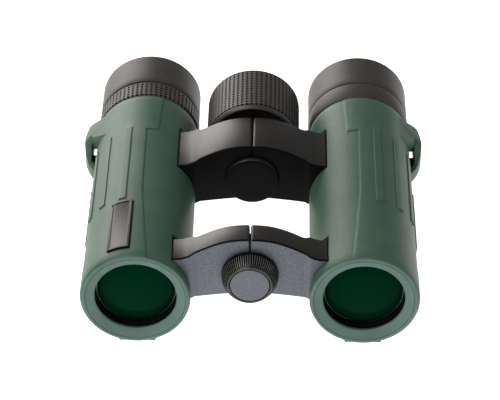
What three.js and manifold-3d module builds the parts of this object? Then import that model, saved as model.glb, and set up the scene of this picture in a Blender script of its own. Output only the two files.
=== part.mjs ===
// Hand-held roof-prism binoculars with an open, two-bridge hinge, in the 25 mm objective class.
// Millimetres. +Y runs from the objectives to the eyecups, +Z is up and +X is the user's left barrel.
// The glasses stand on the flat pads under both barrels with the hinge fully open. The origin is
// the centre of the bounding box at the level of the pads.
// Inside the model, stations along Y are counted from the front rim of the armour, and heights
// from the plane of the two barrel axes.
import * as THREE from "three";
import { mergeVertices } from "three/addons/utils/BufferGeometryUtils.js";
import Module from "manifold-3d";

const wasm = await Module();
wasm.setup();

// ---------------------------------------------------------------- driving dimensions
const GAP = 0.3; // left between pieces that touch
const RUN = 0.3; // radial running clearance of a turning or sliding piece
const PAST = 1; // how far a cutter runs past what it cuts

const EYE_SPACING = 73.7; // between the barrel axes, hinge fully open
const EYE_SPACING_FOLDED = 56; // the least spacing, at the end of the fold
const HINGE_RISE = 7; // hinge axis above the plane of the barrel axes

const LENS_R = 12.9; // objective lens
const CELL_WALL = 0.7;
const HOUSING_WALL = 1.4;
const ARMOUR_WALL = 1.85;
const ARMOUR_LENGTH = 90.3;
const RIM_DEPTH = 1.65; // how far the front rim slopes in to the lip
const LIP_R = 13.2; // front opening of the armour
const LIP_END = 2.9; // the armour's front wall ends here

const PAD_DEPTH = 0.85; // the rest pad stands this far below the round armour
const PAD_WIDTH = 12;
const RIB_HEIGHT = 0.5;
const RIB_ANGLES = [18.5, 44, 68, 92]; // outwards from the top of the barrel
const RIB_SPREAD = 8; // each rib's width, in degrees
const RIB_FRONT = 31;

const LUG_REACH = 4.3; // strap lug beyond the armour
const LUG_BAR = 1.9;
const LUG_HEIGHT = 8;
const LUG_LENGTH = 19;
const LUG_BACK = 3.5; // from the armour's rear end

const FRONT_BRIDGE_START = 5.4;
const FRONT_BRIDGE_DEPTH = 8.6;
const REAR_BRIDGE_BEHIND = 33.7; // front face of the rear bridge, from the armour's rear end
const REAR_BRIDGE_DEPTH = 17.4;
const ROOT_FLARE = 3.2; // the arms widen by this much where they enter the barrel
const HUB_R = 9.6;
const BRIDGE_CROWN = 13.4; // top of the bridge above the hinge axis
const PARTING = 0.2; // half of the gap between the two arms over the hinge
const WINDOW_TOP = 42; // degrees inwards from the top of the barrel
const WINDOW_BOTTOM = 106;

const PIN_R = 3;
const SLEEVE_R = 4.4;
const SCREW_R = 2.4;
const SOCKET_R = 4.9;
const SOCKET_BORE_R = 3.2; // major radius of a 1/4 inch tripod thread

const WHEEL_CLEAR = 4.2; // between the focus wheel and an eyecup
const WHEEL_LENGTH = 22;
const GRIP_WALL = 1.7;
const FOCUS_TRAVEL = 2; // of the focusing lenses, each way from rest
const CHANNEL_HEIGHT = 6; // of the passage for the focus arm inside the rear bridge
const BAR_HEIGHT = 4;
const BAR_DEPTH = 3;

const TUBE_WALL = 1.3; // eyepiece tube
const RING_LENGTH = 8.7; // diopter ring and the plain collar opposite it
const EYECUP_LENGTH = 16;
const EYECUP_R = 17.3;
const SLIDE_WALL = 0.8;
const CORE_WALL = 0.8;
const EYE_LENS_R = 10.6;

const CAP_R = 9.15; // knurled cap of the tripod socket
const CAP_FACE_R = 7.3;
const CAP_LENGTH = 5;
const INLAY_R = 6.3;

const FACETS = 40; // of a barrel-sized circle
const INNER_FACETS = 28; // of the round pieces inside a barrel
const SMALL_FACETS = 24;

// ---------------------------------------------------------------- sizes that follow from them
const BARREL_X = EYE_SPACING / 2;
const CELL_R = LENS_R + GAP + CELL_WALL;
const HOUSING_BORE_R = CELL_R + GAP;
const HOUSING_R = HOUSING_BORE_R + HOUSING_WALL;
const ARMOUR_BORE_R = HOUSING_R + GAP;
const ARMOUR_R = ARMOUR_BORE_R + ARMOUR_WALL;
const PAD_DROP = ARMOUR_R + PAD_DEPTH;
const AXIS_DISTANCE = Math.hypot(BARREL_X, HINGE_RISE);
const ARM_TILT = Math.atan2(HINGE_RISE, BARREL_X); // from the hinge axis down to a barrel axis
const FOLD = 2 * (Math.acos(EYE_SPACING_FOLDED / 2 / AXIS_DISTANCE) - ARM_TILT);

const REAR = ARMOUR_LENGTH;
const REAR_BRIDGE_START = REAR - REAR_BRIDGE_BEHIND;
const REAR_BRIDGE_END = REAR_BRIDGE_START + REAR_BRIDGE_DEPTH;
const FRONT_BRIDGE_END = FRONT_BRIDGE_START + FRONT_BRIDGE_DEPTH;

// The rear hub: a hollow drum on the left half between two knuckles of the right half.
const REAR_KNUCKLE = 2.6;
const DRUM_START = REAR_BRIDGE_START + REAR_KNUCKLE + GAP;
const DRUM_END = REAR_BRIDGE_END - REAR_KNUCKLE - GAP;
const DRUM_END_WALL = 2;
const DRUM_WALL = 1.8;
const CAVITY_START = DRUM_START + DRUM_END_WALL;
const CAVITY_END = DRUM_END - DRUM_END_WALL;
const FOCUS_Y = (CAVITY_START + CAVITY_END) / 2;

// The front hub: one knuckle of the left half between two of the right half.
const FRONT_KNUCKLE = (FRONT_BRIDGE_DEPTH - 2 * GAP) / 3;
const FRONT_MID_START = FRONT_BRIDGE_START + FRONT_KNUCKLE + GAP;
const FRONT_MID_END = FRONT_BRIDGE_END - FRONT_KNUCKLE - GAP;

const TUBE_R = HOUSING_BORE_R - 0.7;
const TUBE_BORE_R = TUBE_R - TUBE_WALL;
const SLIDE_BORE_R = TUBE_R + RUN;
const SLIDE_R = SLIDE_BORE_R + SLIDE_WALL;
const CORE_BORE_R = SLIDE_R + RUN;
const CORE_R = CORE_BORE_R + CORE_WALL;
const RUBBER_BORE_R = CORE_R + GAP;
const CUP_R = Math.max(EYECUP_R, RUBBER_BORE_R + PAST);
const EYE_GLASS_R = Math.min(EYE_LENS_R, TUBE_BORE_R - RUN - GAP - 1);
const RING_START = REAR + GAP;
const RING_END = RING_START + RING_LENGTH;
const CUP_START = RING_END + GAP;
const CUP_END = CUP_START + EYECUP_LENGTH;
const WHEEL_R = AXIS_DISTANCE - CUP_R - WHEEL_CLEAR;
const WHEEL_START = REAR_BRIDGE_END + 2.6;
const WHEEL_END = WHEEL_START + WHEEL_LENGTH;

const CAP_BACK = FRONT_BRIDGE_START - 1.4;
const CAP_FRONT = CAP_BACK - CAP_LENGTH;

const degrees = THREE.MathUtils.degToRad;
const inDegrees = THREE.MathUtils.radToDeg;

// ---------------------------------------------------------------- solids and meshes
// A closed geometry as a manifold-3d solid, for cutting and joining.
function solid(geometry) {
  const g = geometry.index ? geometry.toNonIndexed() : geometry;
  const bare = new THREE.BufferGeometry();
  bare.setAttribute("position", g.getAttribute("position"));
  const merged = mergeVertices(bare, 1e-4);
  const triVerts = new Uint32Array(merged.index.array);
  const vertProperties = merged.attributes.position.array;
  return new wasm.Manifold(new wasm.Mesh({ numProp: 3, vertProperties, triVerts }));
}

function geometryOf(body) {
  const mesh = body.getMesh();
  const geometry = new THREE.BufferGeometry();
  geometry.setAttribute("position", new THREE.BufferAttribute(mesh.vertProperties, 3));
  geometry.setIndex(new THREE.BufferAttribute(mesh.triVerts, 1));
  const flat = geometry.toNonIndexed();
  flat.computeVertexNormals();
  return flat;
}

// A solid of revolution about the Y axis from [radius, station] points that run round its section.
function turned(points, facets = INNER_FACETS) {
  const closed = points[0][0] === 0 ? points : [...points, points[0]];
  let area = 0;
  points.forEach(([r, y], i) => {
    const [nextR, nextY] = points[(i + 1) % points.length];
    area += r * nextY - nextR * y;
  });
  const outline = area > 0 ? closed : closed.reverse();
  return new THREE.LatheGeometry(outline.map(([r, y]) => new THREE.Vector2(r, y)), facets);
}

// A plain ring or tube between two radii and two stations, and a plain disc or rod.
const ring = (inner, outer, start, end, facets = INNER_FACETS) =>
  turned([[inner, start], [outer, start], [outer, end], [inner, end]], facets);
const rod = (radius, start, end, facets = SMALL_FACETS) =>
  turned([[0, start], [radius, start], [radius, end], [0, end]], facets);

// An outline in the XZ plane, given as [x, z] points or a shape, carried from start to end along Y.
function along(outline, start, end, curveSegments = 10) {
  const shape = Array.isArray(outline)
    ? new THREE.Shape(outline.map(([x, z]) => new THREE.Vector2(x, z)))
    : outline;
  const geometry = new THREE.ExtrudeGeometry(shape, {
    depth: end - start,
    bevelEnabled: false,
    curveSegments,
  });
  return geometry.rotateX(Math.PI / 2).translate(0, end, 0);
}

const box = (x0, x1, y0, y1, z0, z1) =>
  new THREE.BoxGeometry(x1 - x0, y1 - y0, z1 - z0).translate(
    (x0 + x1) / 2,
    (y0 + y1) / 2,
    (z0 + z1) / 2,
  );

// A wedge with its edge on the Y axis. Angles are in degrees from straight up, towards +X.
function wedge(from, to, radius, start, end) {
  const steps = Math.max(2, Math.ceil((to - from) / 20));
  const points = [[0, 0]];
  for (let i = 0; i <= steps; i++) {
    const angle = degrees(from + ((to - from) * i) / steps);
    points.push([radius * Math.sin(angle), radius * Math.cos(angle)]);
  }
  return along(points, start, end);
}

const finishes = {
  armour: new THREE.MeshStandardMaterial({ color: 0x4f6557, roughness: 0.7, metalness: 0 }),
  casting: new THREE.MeshStandardMaterial({ color: 0x2b2a2b, roughness: 0.5, metalness: 0.4 }),
  rubber: new THREE.MeshStandardMaterial({ color: 0x4a4644, roughness: 0.75, metalness: 0 }),
  plastic: new THREE.MeshStandardMaterial({ color: 0x1c1c1d, roughness: 0.5, metalness: 0 }),
  steel: new THREE.MeshStandardMaterial({ color: 0x9a9a9a, roughness: 0.35, metalness: 1 }),
  brass: new THREE.MeshStandardMaterial({ color: 0xb08d4f, roughness: 0.35, metalness: 1 }),
  metal: new THREE.MeshStandardMaterial({ color: 0x6c6e73, roughness: 0.45, metalness: 0.6 }),
  badge: new THREE.MeshStandardMaterial({ color: 0x77706b, roughness: 0.55, metalness: 0.3 }),
  glass: new THREE.MeshStandardMaterial({ color: 0x0c4a30, roughness: 0.05, metalness: 0 }),
  prism: new THREE.MeshStandardMaterial({ color: 0xcfe3e8, roughness: 0.05, metalness: 0 }),
};

function piece(name, geometry, finish) {
  const mesh = new THREE.Mesh(geometry, finishes[finish]);
  mesh.name = name;
  return mesh;
}

// ---------------------------------------------------------------- armour
// The rubber sleeve: a round skin with a sloping front rim, four long grip ribs on the outer
// side, a strap lug, a flat rest pad under it, and two windows that let the bridge arms in.
function ribs() {
  const inside = ARMOUR_R - PAST;
  return RIB_ANGLES.map((middle) => {
    const points = [];
    for (const [radius, turns] of [[inside, [-1, 0, 1]], [ARMOUR_R + RIB_HEIGHT, [1, 0, -1]]])
      for (const turn of turns) {
        const angle = degrees(middle + (turn * RIB_SPREAD) / 2);
        points.push([radius * Math.sin(angle), radius * Math.cos(angle)]);
      }
    return solid(along(points, RIB_FRONT, REAR - 19));
  });
}

function strapLug() {
  const back = REAR - LUG_BACK;
  const front = back - LUG_LENGTH;
  const reach = ARMOUR_R + LUG_REACH;
  const root = ARMOUR_BORE_R;
  const outline = new THREE.Shape();
  outline.moveTo(root, front - 2);
  outline.bezierCurveTo(reach - 2, front, reach, front + 4, reach, front + 8);
  outline.lineTo(reach, back - 5);
  outline.bezierCurveTo(reach, back, reach - 2, back + 0.5, root, back + 2.5);
  outline.closePath();
  const slot = new THREE.Path();
  const slotOuter = reach - LUG_BAR;
  slot.moveTo(ARMOUR_R - 0.4, front + 4.2);
  slot.lineTo(ARMOUR_R - 0.4, back - 3);
  slot.lineTo(slotOuter - 1, back - 3);
  slot.quadraticCurveTo(slotOuter, back - 3, slotOuter, back - 4.5);
  slot.lineTo(slotOuter, front + 8);
  slot.quadraticCurveTo(slotOuter, front + 5.5, slotOuter - 1.2, front + 4.2);
  slot.closePath();
  outline.holes.push(slot);
  const geometry = new THREE.ExtrudeGeometry(outline, {
    depth: LUG_HEIGHT,
    bevelEnabled: false,
    curveSegments: 6,
  });
  return solid(geometry.translate(0, 0, 2.5 - LUG_HEIGHT / 2));
}

function armour() {
  const skin = solid(
    turned(
      [
        [LIP_R, RIM_DEPTH],
        [LIP_R + 1.4, 0.75],
        [ARMOUR_R - 1.7, 0],
        [ARMOUR_R - 0.5, 0.25],
        [ARMOUR_R, 1.1],
        [ARMOUR_R, REAR - 0.5],
        [ARMOUR_R - 0.5, REAR],
        [ARMOUR_BORE_R, REAR],
        [ARMOUR_BORE_R, LIP_END],
        [LIP_R + 0.4, LIP_END],
      ],
      FACETS,
    ),
  );
  const pad = solid(
    box(-PAD_WIDTH / 2, PAD_WIDTH / 2, 1.6, REAR - 6, -PAD_DROP, -ARMOUR_R + 2),
  );
  let body = skin.add(pad).add(strapLug());
  for (const rib of ribs()) body = body.add(rib);
  const bore = solid(rod(ARMOUR_BORE_R, LIP_END, REAR + PAST, FACETS));
  body = body.subtract(bore);
  for (const [start, end] of [
    [FRONT_BRIDGE_START, FRONT_BRIDGE_END],
    [REAR_BRIDGE_START, REAR_BRIDGE_END],
  ]) {
    const window = wedge(
      -WINDOW_BOTTOM,
      -WINDOW_TOP,
      2 * ARMOUR_R,
      start - GAP,
      end + ROOT_FLARE + GAP,
    );
    body = body.subtract(solid(window));
  }
  return geometryOf(body);
}

// ---------------------------------------------------------------- housing with its bridge arms
// One casting: the optical tube with a front and a rear arm that reach the hinge. The arms meet
// over the hinge at a parting line, and their knuckles interleave round the hinge axis below it.
// It is drawn with the barrel at +X and the hinge axis at x = 0.
const onBarrel = (radius, inwards) => [
  BARREL_X - radius * Math.sin(degrees(inwards)),
  radius * Math.cos(degrees(inwards)),
];

function armOutline() {
  const outer = ARMOUR_R - GAP;
  const inner = HOUSING_R - 0.6;
  const topAngle = WINDOW_TOP + 1.4;
  const bottomAngle = WINDOW_BOTTOM - 1.7;
  const [topX, topZ] = onBarrel(outer, topAngle);
  const [bottomX, bottomZ] = onBarrel(outer, bottomAngle);
  const span = topX - PARTING;
  const crown = HINGE_RISE + BRIDGE_CROWN;
  const shape = new THREE.Shape();
  shape.moveTo(PARTING, crown);
  shape.lineTo(PARTING, HINGE_RISE - HUB_R * 0.8);
  shape.lineTo(span * 0.25, HINGE_RISE - HUB_R - 0.3);
  shape.quadraticCurveTo(span * 0.55, HINGE_RISE - HUB_R - 1, bottomX, bottomZ);
  shape.lineTo(...onBarrel(inner, bottomAngle));
  shape.lineTo(...onBarrel(inner, 90));
  shape.lineTo(...onBarrel(inner, 65));
  shape.lineTo(...onBarrel(inner, topAngle));
  shape.lineTo(topX, topZ);
  shape.bezierCurveTo(
    topX - span * 0.48,
    topZ + 1.6,
    PARTING + span * 0.4,
    crown,
    PARTING,
    crown,
  );
  return shape;
}

// The part of an arm's outline near the barrel, which flares rearwards into the window.
function flareOutline() {
  const outer = ARMOUR_R - GAP;
  const inner = HOUSING_R - 0.6;
  const points = [];
  for (const angle of [WINDOW_TOP + 1.4, 65, 88, WINDOW_BOTTOM - 1.7])
    points.push(onBarrel(outer, angle));
  for (const angle of [WINDOW_BOTTOM - 1.7, 88, 65, WINDOW_TOP + 1.4])
    points.push(onBarrel(inner, angle));
  return points;
}

// Cylinders and wedges about the hinge axis.
const atHinge = (geometry) => solid(geometry.translate(0, 0, HINGE_RISE));
const hub = (radius, start, end) => atHinge(rod(radius, start, end, FACETS));

function arm(start, end, own, foreign) {
  let body = solid(along(armOutline(), start, end));
  body = body.add(solid(along(flareOutline(), start, end + ROOT_FLARE)));
  const sweep = inDegrees(FOLD) / 2 + 2;
  body = body.subtract(
    atHinge(wedge(180 - sweep, 180 + sweep, 3 * HUB_R, start - PAST, end + PAST)),
  );
  for (const [from, to] of own) body = body.add(hub(HUB_R, from, to));
  for (const [from, to] of foreign) body = body.subtract(hub(HUB_R + RUN, from - GAP, to + GAP));
  return body;
}

// A box from the hinge axis towards the barrel axis, for the passage and the bar inside it.
const towardsBarrel = (from, to, start, end, height) =>
  solid(
    box(from, to, start, end, -height / 2, height / 2)
      .rotateY(ARM_TILT)
      .translate(0, 0, HINGE_RISE),
  );

function housing(isLeft) {
  const front = {
    middle: [[FRONT_MID_START, FRONT_MID_END]],
    ends: [
      [FRONT_BRIDGE_START, FRONT_BRIDGE_START + FRONT_KNUCKLE],
      [FRONT_BRIDGE_END - FRONT_KNUCKLE, FRONT_BRIDGE_END],
    ],
  };
  const rear = {
    middle: [[DRUM_START, DRUM_END]],
    ends: [
      [REAR_BRIDGE_START, REAR_BRIDGE_START + REAR_KNUCKLE],
      [REAR_BRIDGE_END - REAR_KNUCKLE, REAR_BRIDGE_END],
    ],
  };
  const [own, foreign] = isLeft ? ["middle", "ends"] : ["ends", "middle"];
  const frontArm = arm(FRONT_BRIDGE_START, FRONT_BRIDGE_END, front[own], front[foreign]);
  const rearArm = arm(REAR_BRIDGE_START, REAR_BRIDGE_END, rear[own], rear[foreign]);
  const atBarrel = (geometry) => solid(geometry.translate(BARREL_X, 0, 0));
  let body = atBarrel(rod(HOUSING_R, LIP_END + GAP, REAR - 0.4, FACETS));
  body = body.add(frontArm).add(rearArm);
  body = body.subtract(atBarrel(rod(HOUSING_BORE_R, 0, REAR + PAST, FACETS)));
  body = body.subtract(hub(SOCKET_R + RUN, FRONT_BRIDGE_START - PAST, FRONT_BRIDGE_END + PAST));
  body = body.subtract(hub(PIN_R + RUN, REAR_BRIDGE_START - PAST, FOCUS_Y));
  body = body.subtract(hub(SLEEVE_R + RUN, FOCUS_Y, REAR_BRIDGE_END + PAST));
  body = body.subtract(
    towardsBarrel(0, AXIS_DISTANCE - 8, CAVITY_START, CAVITY_END, CHANNEL_HEIGHT),
  );
  if (isLeft) {
    // The drum is hollow and open on the right, where the other half's focus arm swings.
    const bore = HUB_R - DRUM_WALL;
    const rest = 270 - inDegrees(ARM_TILT);
    const play = inDegrees(Math.asin(BAR_HEIGHT / 2 / bore)) + 3;
    const opening = wedge(
      rest - inDegrees(FOLD) - play,
      rest + play,
      2 * HUB_R,
      CAVITY_START,
      CAVITY_END,
    );
    body = body.subtract(hub(bore, CAVITY_START, CAVITY_END));
    body = body.subtract(atHinge(opening).intersect(hub(HUB_R + RUN, CAVITY_START, CAVITY_END)));
  }
  return geometryOf(body);
}

// ---------------------------------------------------------------- optics inside a barrel
// A lens with curved faces: bulge is how far each face stands out at the centre, or in if negative.
function lens(radius, start, end, frontBulge, rearBulge) {
  const points = [];
  const steps = 2;
  for (let i = 0; i <= steps; i++) {
    const share = i / steps;
    points.push([radius * share, start - frontBulge * (1 - share * share)]);
  }
  for (let i = steps; i >= 0; i--) {
    const share = i / steps;
    points.push([radius * share, end + rearBulge * (1 - share * share)]);
  }
  return turned(points);
}

const LENS_START = 5.3;
const LENS_EDGE = 3;
const CELL_END = 19;
const PRISM_START = REAR - 34.8;
const PRISM_LENGTH = 22;
const PRISM_SIDE = 14;
const PLATE = 1.4;
const OCULAR_START = REAR - 8;
const FOCUS_CELL_START = PRISM_START - 8.6;
const FOCUS_CELL_LENGTH = 3.4;
const ROD_R = 1.1;
const ROD_REACH = HOUSING_BORE_R - RUN - ROD_R - 0.4; // rod axis from the barrel axis

function objectiveParts(side) {
  const back = LENS_START + LENS_EDGE;
  const seat = LENS_R - 0.9;
  const cell = turned([
    [LENS_R + GAP, LENS_START],
    [CELL_R, LENS_START],
    [CELL_R, CELL_END],
    [seat, CELL_END],
    [seat, back + GAP],
    [LENS_R + GAP, back + GAP],
  ]);
  const retainer = turned([
    [LENS_R - 0.3, LIP_END + GAP + 0.4],
    [CELL_R, LIP_END + GAP + 0.4],
    [CELL_R, LENS_START - GAP],
    [LENS_R - 0.3, LENS_START - GAP],
  ]);
  const glass = lens(LENS_R, LENS_START + 0.1, back, 1.3, 0.7);
  return [
    piece(`${side}_objective_cell`, cell, "plastic"),
    piece(`${side}_objective_retainer`, retainer, "plastic"),
    piece(`${side}_objective_lens`, glass, "glass"),
  ];
}

// The roof prism pair: two glass blocks with a slanting air gap between them. The rear one has
// its top planed to a roof.
function prismParts(side) {
  const start = PRISM_START + PLATE + GAP;
  const end = PRISM_START + PRISM_LENGTH - PLATE - GAP;
  const half = PRISM_SIDE / 2;
  const crest = half + 2.5;
  const slantAt = (z) => (start + end) / 2 + 0.55 * z;
  const block = (points) => {
    const shape = new THREE.Shape(points.map(([y, z]) => new THREE.Vector2(y, z)));
    const geometry = new THREE.ExtrudeGeometry(shape, { depth: PRISM_SIDE, bevelEnabled: false });
    return solid(
      geometry
        .translate(0, 0, -half)
        .rotateX(Math.PI / 2)
        .rotateZ(Math.PI / 2),
    );
  };
  const base = block([
    [start, -half],
    [slantAt(-half) - GAP, -half],
    [slantAt(half) - GAP, half],
    [start, half],
  ]);
  const roofBlock = block([
    [slantAt(-half) + GAP, -half],
    [end, -half],
    [end, crest],
    [slantAt(crest) + GAP, crest],
  ]);
  const ridge = solid(
    box(-PRISM_SIDE, PRISM_SIDE, start, end, -PRISM_SIDE, PRISM_SIDE)
      .rotateY(Math.PI / 4)
      .translate(0, 0, half + 2 - PRISM_SIDE * Math.SQRT2),
  );
  return [
    piece(`${side}_base_prism`, geometryOf(base), "prism"),
    piece(`${side}_roof_prism`, geometryOf(roofBlock.intersect(ridge)), "prism"),
  ];
}

// The cage that holds the prisms: two plates with light openings, joined by a wall on the outer
// side. A notch on the inner side lets the focus rod pass.
function prismHolder(side) {
  const end = PRISM_START + PRISM_LENGTH;
  const outer = HOUSING_BORE_R - GAP;
  const half = PRISM_SIDE / 2;
  let body = solid(rod(outer, PRISM_START, end, FACETS));
  const inside = box(-2 * outer, half + GAP, PRISM_START + PLATE, end - PLATE, -2 * outer, 2 * outer);
  const light = rod(half - 0.6, PRISM_START - PAST, end + PAST);
  const notch = new THREE.BoxGeometry(8, PRISM_LENGTH + 4 * PAST, 4 * ROD_R)
    .translate(-ROD_REACH - 2.2, (PRISM_START + end) / 2, 0)
    .rotateY(ARM_TILT);
  body = body.subtract(solid(inside)).subtract(solid(light)).subtract(solid(notch));
  return piece(`${side}_prism_holder`, geometryOf(body), "plastic");
}

function ocularParts(side) {
  const outer = TUBE_BORE_R - RUN;
  const bore = EYE_GLASS_R + GAP;
  const end = CUP_END - 6.5;
  const cell = turned([
    [bore - 1, OCULAR_START],
    [outer, OCULAR_START],
    [outer, end],
    [bore - 0.6, end],
    [bore - 0.6, end - 1],
    [bore, end - 1],
    [bore, OCULAR_START + 1],
    [bore - 1, OCULAR_START + 1],
  ]);
  const fieldStart = OCULAR_START + 3;
  const eyeEnd = end - 1.4;
  return [
    piece(`${side}_ocular_cell`, cell, "plastic"),
    piece(`${side}_field_lens`, lens(EYE_GLASS_R, fieldStart, fieldStart + 2, 1, 1), "prism"),
    piece(`${side}_eye_lens`, lens(EYE_GLASS_R, eyeEnd - 3, eyeEnd, 0.8, 0.7), "glass"),
  ];
}

function eyepieceTube(side) {
  const flange = HOUSING_BORE_R - GAP;
  const tube = turned([
    [TUBE_BORE_R, OCULAR_START - 2],
    [flange, OCULAR_START - 2],
    [flange, REAR - 0.4],
    [TUBE_R, REAR - 0.4],
    [TUBE_R, CUP_END - 5],
    [TUBE_BORE_R, CUP_END - 5],
  ]);
  return piece(`${side}_eyepiece_tube`, tube, "plastic");
}

// ---------------------------------------------------------------- eyecups
// A sleeve that slides straight on the eyepiece tube, a core that turns on the sleeve through a
// helical slot, and a rubber skin that folds over the core's end.
function eyecupParts(side) {
  const top = CUP_END - 3.2;
  const slide = ring(SLIDE_BORE_R, SLIDE_R, CUP_START + 0.2, top - GAP);
  const core = ring(CORE_BORE_R, CORE_R, CUP_START, top);
  const rubber = turned(
    [
      [RUBBER_BORE_R, CUP_START],
      [CUP_R + 0.1, CUP_START],
      [CUP_R + 0.2, CUP_START + 1],
      [CUP_R, CUP_END - 2.4],
      [CUP_R - 0.5, CUP_END - 0.9],
      [CUP_R - 1.6, CUP_END - 0.1],
      [CUP_R - 2.8, CUP_END],
      [CORE_BORE_R - 1.6, CUP_END - 0.5],
      [CORE_BORE_R - 2.2, CUP_END - 1.8],
      [CORE_BORE_R - 2, top + GAP],
      [RUBBER_BORE_R, top + GAP],
    ],
    FACETS,
  );
  return [
    piece(`${side}_eyecup_sleeve`, slide, "plastic"),
    piece(`${side}_eyecup_core`, core, "plastic"),
    piece(`${side}_eyecup_rubber`, rubber, "rubber"),
  ];
}

// A ring whose outside is a zigzag of straight ridges.
function ridged(bore, root, tip, ridges, start, end) {
  const points = [];
  for (let i = 0; i < 2 * ridges; i++) {
    const radius = i % 2 ? root : tip;
    const angle = (Math.PI * i) / ridges;
    points.push([radius * Math.sin(angle), radius * Math.cos(angle)]);
  }
  const body = solid(along(points, start, end));
  return body.subtract(solid(rod(bore, start - PAST, end + PAST, FACETS)));
}

function collar() {
  return turned(
    [
      [SLIDE_BORE_R, RING_START],
      [CUP_R + 0.1, RING_START],
      [CUP_R + 0.3, RING_START + 0.6],
      [CUP_R + 0.2, RING_END],
      [SLIDE_BORE_R, RING_END],
    ],
    FACETS,
  );
}

// ---------------------------------------------------------------- focus drive
// The wheel turns a coarse screw. The nut on it slides along the hinge axis and carries the left
// focus arm, and the right arm hooks round a groove in the nut, so it can swing with its barrel.
const NUT_R = HUB_R - DRUM_WALL - RUN - 0.2;
const GROOVE_R = NUT_R - 2;
const FORK = 1.3;

function focusNut() {
  const start = FOCUS_Y - BAR_DEPTH / 2;
  const end = FOCUS_Y + BAR_DEPTH / 2;
  const lip = (BAR_DEPTH - FORK) / 2 - GAP;
  const body = turned(
    [
      [SCREW_R + RUN, start],
      [NUT_R, start],
      [NUT_R, start + lip],
      [GROOVE_R, start + lip],
      [GROOVE_R, end - lip],
      [NUT_R, end - lip],
      [NUT_R, end],
      [SCREW_R + RUN, end],
    ],
    SMALL_FACETS,
  );
  return piece("focus_nut", body, "brass");
}

// The bar from the hub to the barrel and the rod along the barrel to the focusing cell.
function focusArm(side) {
  const barStart = FOCUS_Y - BAR_DEPTH / 2;
  const barEnd = FOCUS_Y + BAR_DEPTH / 2;
  const to = AXIS_DISTANCE - ROD_REACH;
  let body = towardsBarrel(NUT_R + GAP, to, barStart, barEnd, BAR_HEIGHT);
  if (side === "right") {
    const forkStart = FOCUS_Y - FORK / 2;
    const forkEnd = FOCUS_Y + FORK / 2;
    const fork = hub(NUT_R, forkStart, forkEnd)
      .subtract(hub(GROOVE_R + RUN, forkStart - PAST, forkEnd + PAST))
      .subtract(towardsBarrel(-2 * HUB_R, 0, forkStart - PAST, forkEnd + PAST, 4 * HUB_R));
    const tongue = towardsBarrel(GROOVE_R + 0.8, NUT_R + PAST, forkStart, forkEnd, BAR_HEIGHT);
    body = body.add(fork).add(tongue);
  }
  const line = rod(ROD_R, FOCUS_CELL_START + FOCUS_CELL_LENGTH + GAP, barEnd, 12)
    .translate(-ROD_REACH, 0, 0)
    .rotateY(ARM_TILT)
    .translate(BARREL_X, 0, 0);
  return piece(`${side}_focus_arm`, geometryOf(body.add(solid(line))), "steel");
}

function focusCell(side) {
  const outer = HOUSING_BORE_R - RUN;
  const end = FOCUS_CELL_START + FOCUS_CELL_LENGTH;
  return [
    piece(`${side}_focus_cell`, ring(outer - 2.6, outer, FOCUS_CELL_START, end), "brass"),
    piece(
      `${side}_focus_lens`,
      lens(outer - 2.6 - GAP, FOCUS_CELL_START + 0.6, end - 0.4, -0.5, -0.5),
      "prism",
    ),
  ];
}

function focusWheel() {
  const gripBore = WHEEL_R - GRIP_WALL;
  const coreR = gripBore - GAP;
  const capR = coreR - 2;
  const core = turned([
    [SLEEVE_R + RUN, WHEEL_START + 0.2],
    [WHEEL_R - 1.6, WHEEL_START + 0.2],
    [WHEEL_R - 0.3, WHEEL_START + 1],
    [WHEEL_R - 0.3, WHEEL_START + 1.6],
    [coreR, WHEEL_START + 1.6],
    [coreR, WHEEL_END - 0.6],
    [coreR - 0.8, WHEEL_END],
    [capR + GAP, WHEEL_END],
    [capR + GAP, WHEEL_END - 1.5],
    [SCREW_R + GAP, WHEEL_END - 1.5],
    [SCREW_R + GAP, WHEEL_START + 8.6],
    [SLEEVE_R + RUN, WHEEL_START + 8.6],
  ]);
  const grip = ridged(
    gripBore,
    WHEEL_R - 0.4,
    WHEEL_R,
    48,
    WHEEL_START + 1.6 + GAP,
    WHEEL_END - 0.8,
  );
  const screw = rod(SCREW_R, CAVITY_START + GAP, WHEEL_END - 1.8);
  return [
    piece("focus_wheel_core", core, "metal"),
    piece("focus_wheel_grip", geometryOf(grip), "rubber"),
    piece("focus_wheel_cap", rod(capR, WHEEL_END - 1.2, WHEEL_END - 0.1, FACETS), "metal"),
    piece("focus_screw", screw, "steel"),
  ];
}

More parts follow.
